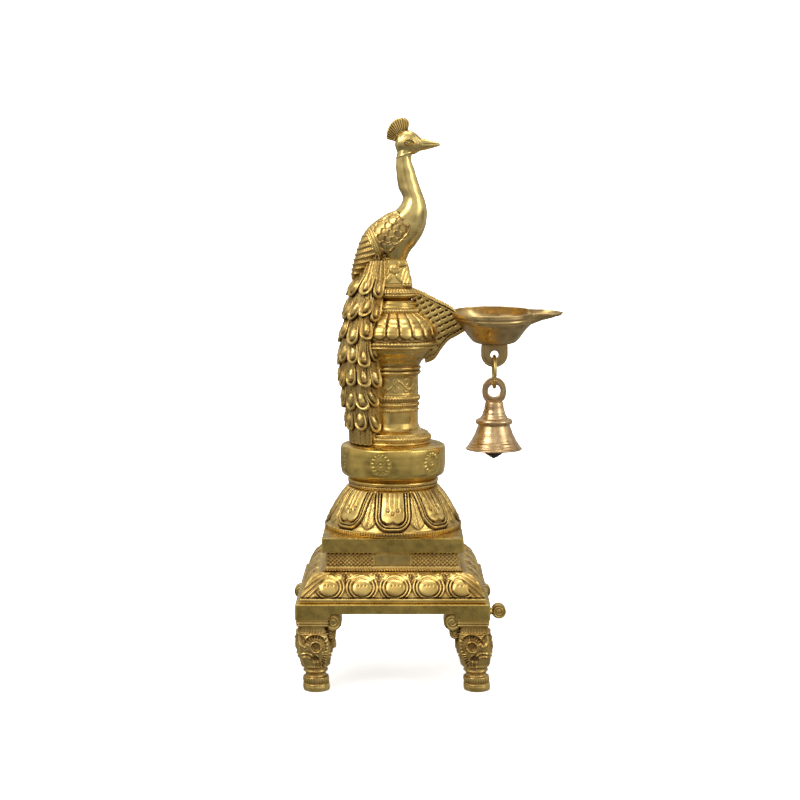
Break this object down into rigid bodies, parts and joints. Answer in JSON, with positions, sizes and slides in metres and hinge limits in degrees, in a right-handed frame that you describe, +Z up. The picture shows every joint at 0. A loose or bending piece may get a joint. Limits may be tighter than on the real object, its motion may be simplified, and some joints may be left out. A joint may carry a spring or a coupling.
{
  "type": "standing oil lamp",
  "caption": "Brass standing oil lamp: a peacock on a tiered pillar above a four-legged stool, with a side lamp bowl and a bell hung from a ring.",
  "frame": {"origin": "on the floor, midway between the centres of the four corner blocks, under the pillar axis", "axes": "+Z up the pillar; +X the way the bird and the lamp bowl face; the front of the lamp is the -Y side"},
  "size_m": [0.1755, 0.1216, 0.356],
  "materials": {
    "carved_brass": "cast and chased brass, dark patina left in the hollows",
    "polished_brass": "hand-polished brass with faint file marks",
    "bell_brass": "lathe-turned bell metal, a rosier brown brass",
    "wire_brass": "drawn brass wire, dull",
    "clapper_iron": "dark brown cast metal",
    "rod_steel": "plain zinc-grey steel"
  },
  "bodies": {
    "lamp": {"leg_front_left": "carved_brass", "leg_front_right": "carved_brass", "leg_back_left": "carved_brass", "leg_back_right": "carved_brass", "carved_cushion": "carved_brass", "lattice_plinth": "carved_brass", "lotus_dome": "carved_brass", "lotus_collar": "carved_brass", "pillar": "carved_brass", "petal_dome": "carved_brass", "bead_collar": "carved_brass", "notched_disc": "carved_brass", "bird_plinth": "carved_brass", "wing_left": "carved_brass", "wing_right": "carved_brass", "crest": "carved_brass", "train": "carved_brass", "lamp_arm": "carved_brass", "stool_frame": "polished_brass", "top_plate": "polished_brass", "belly_band": "polished_brass", "peacock_body": "polished_brass", "diya_bowl": "polished_brass", "tie_rod": "rod_steel", "tie_washer": "rod_steel", "tie_nut": "rod_steel"},
    "bell_ring_body": {"bell_ring": "wire_brass"},
    "bell_body": {"bell": "bell_brass", "clapper_hanger": "wire_brass"},
    "clapper_body": {"clapper": "clapper_iron"}
  },
  "joints": [
    {"name": "ring_swing", "type": "hinge", "parent": "lamp", "child": "bell_ring_body", "pos_m": [0.0652, 0, 0.2045], "axis": [0, -1, 0], "range_deg": [-18, 45]},
    {"name": "bell_fore_aft", "type": "hinge", "parent": "bell_ring_body", "child": "bell_body", "pos_m": [0.0652, 0, 0.1945], "axis": [1, 0, 0], "range_deg": [-35, 35]},
    {"name": "clapper_swing", "type": "hinge", "parent": "bell_body", "child": "clapper_body", "pos_m": [0.0652, 0, 0.16281], "axis": [0, -1, 0], "range_deg": [-15, 15]}
  ]
}
